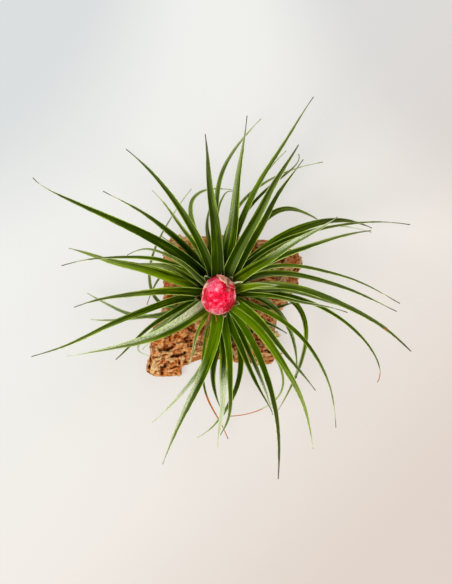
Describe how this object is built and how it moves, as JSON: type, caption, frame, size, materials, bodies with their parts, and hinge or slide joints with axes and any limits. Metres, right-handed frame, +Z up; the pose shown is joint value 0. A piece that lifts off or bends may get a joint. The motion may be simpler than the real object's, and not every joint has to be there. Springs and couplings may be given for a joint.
{
  "type": "air plant",
  "caption": "Rosette air plant in bud: arching channelled leaves round a pink head of overlapping bracts, rooted on a chunk of rough cork bark that lies flat.",
  "frame": {"origin": "on the flat underside of the cork, straight below the plant's stem", "axes": "+Z up along the stem, +Y towards the top of the picture, +X to its right"},
  "size_m": [0.1999, 0.2013, 0.0963],
  "materials": {
    "cork": "matte",
    "root": "matte",
    "dry_leaf": "matte",
    "leaf": "satin",
    "bract": "satin"
  },
  "bodies": {
    "root": {"cork_bark": "cork", "roots": "root", "old_leaves": "dry_leaf", "leafy_stem": "leaf", "flower_head": "bract"}
  },
  "joints": []
}
